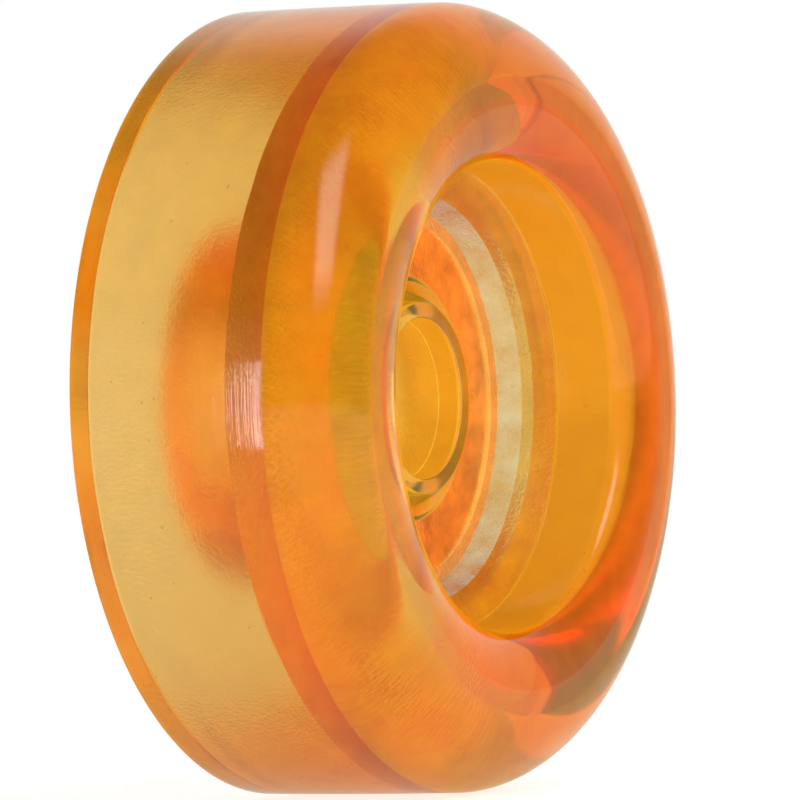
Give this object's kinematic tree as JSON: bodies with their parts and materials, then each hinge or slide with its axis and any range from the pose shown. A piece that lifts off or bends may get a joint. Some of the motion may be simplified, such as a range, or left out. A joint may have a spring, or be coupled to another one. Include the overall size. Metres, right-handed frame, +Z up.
{
  "type": "caster wheel",
  "caption": "Clear amber urethane caster wheel with a large front shoulder, a stepped front pocket, a ring cavity in the rear and a plain bore.",
  "frame": {"origin": "middle of the wheel: on the axle's axis, halfway between the two side faces", "axes": "+Y along the axle, out of the nearly sharp-edged rear side; -Y out of the front side with the big rounded shoulder; +Z up"},
  "size_m": [0.0634, 0.0238, 0.0634],
  "materials": {
    "tyre_urethane": "clear amber, smooth moulded gloss",
    "textured_core": "clear amber with a fine spark-eroded texture",
    "smooth_bush": "clear amber, smooth",
    "yellow_tube": "bright yellow amber, smooth"
  },
  "bodies": {
    "root": {"front_bush": "smooth_bush", "rear_bush": "smooth_bush", "spacer_tube": "yellow_tube"},
    "wheel": {"tyre": "tyre_urethane", "hub_core": "textured_core"}
  },
  "joints": [
    {"name": "wheel_spin", "type": "hinge", "parent": "root", "child": "wheel", "pos_m": [0, 0, 0], "axis": [0, 1, 0], "continuous": true}
  ]
}
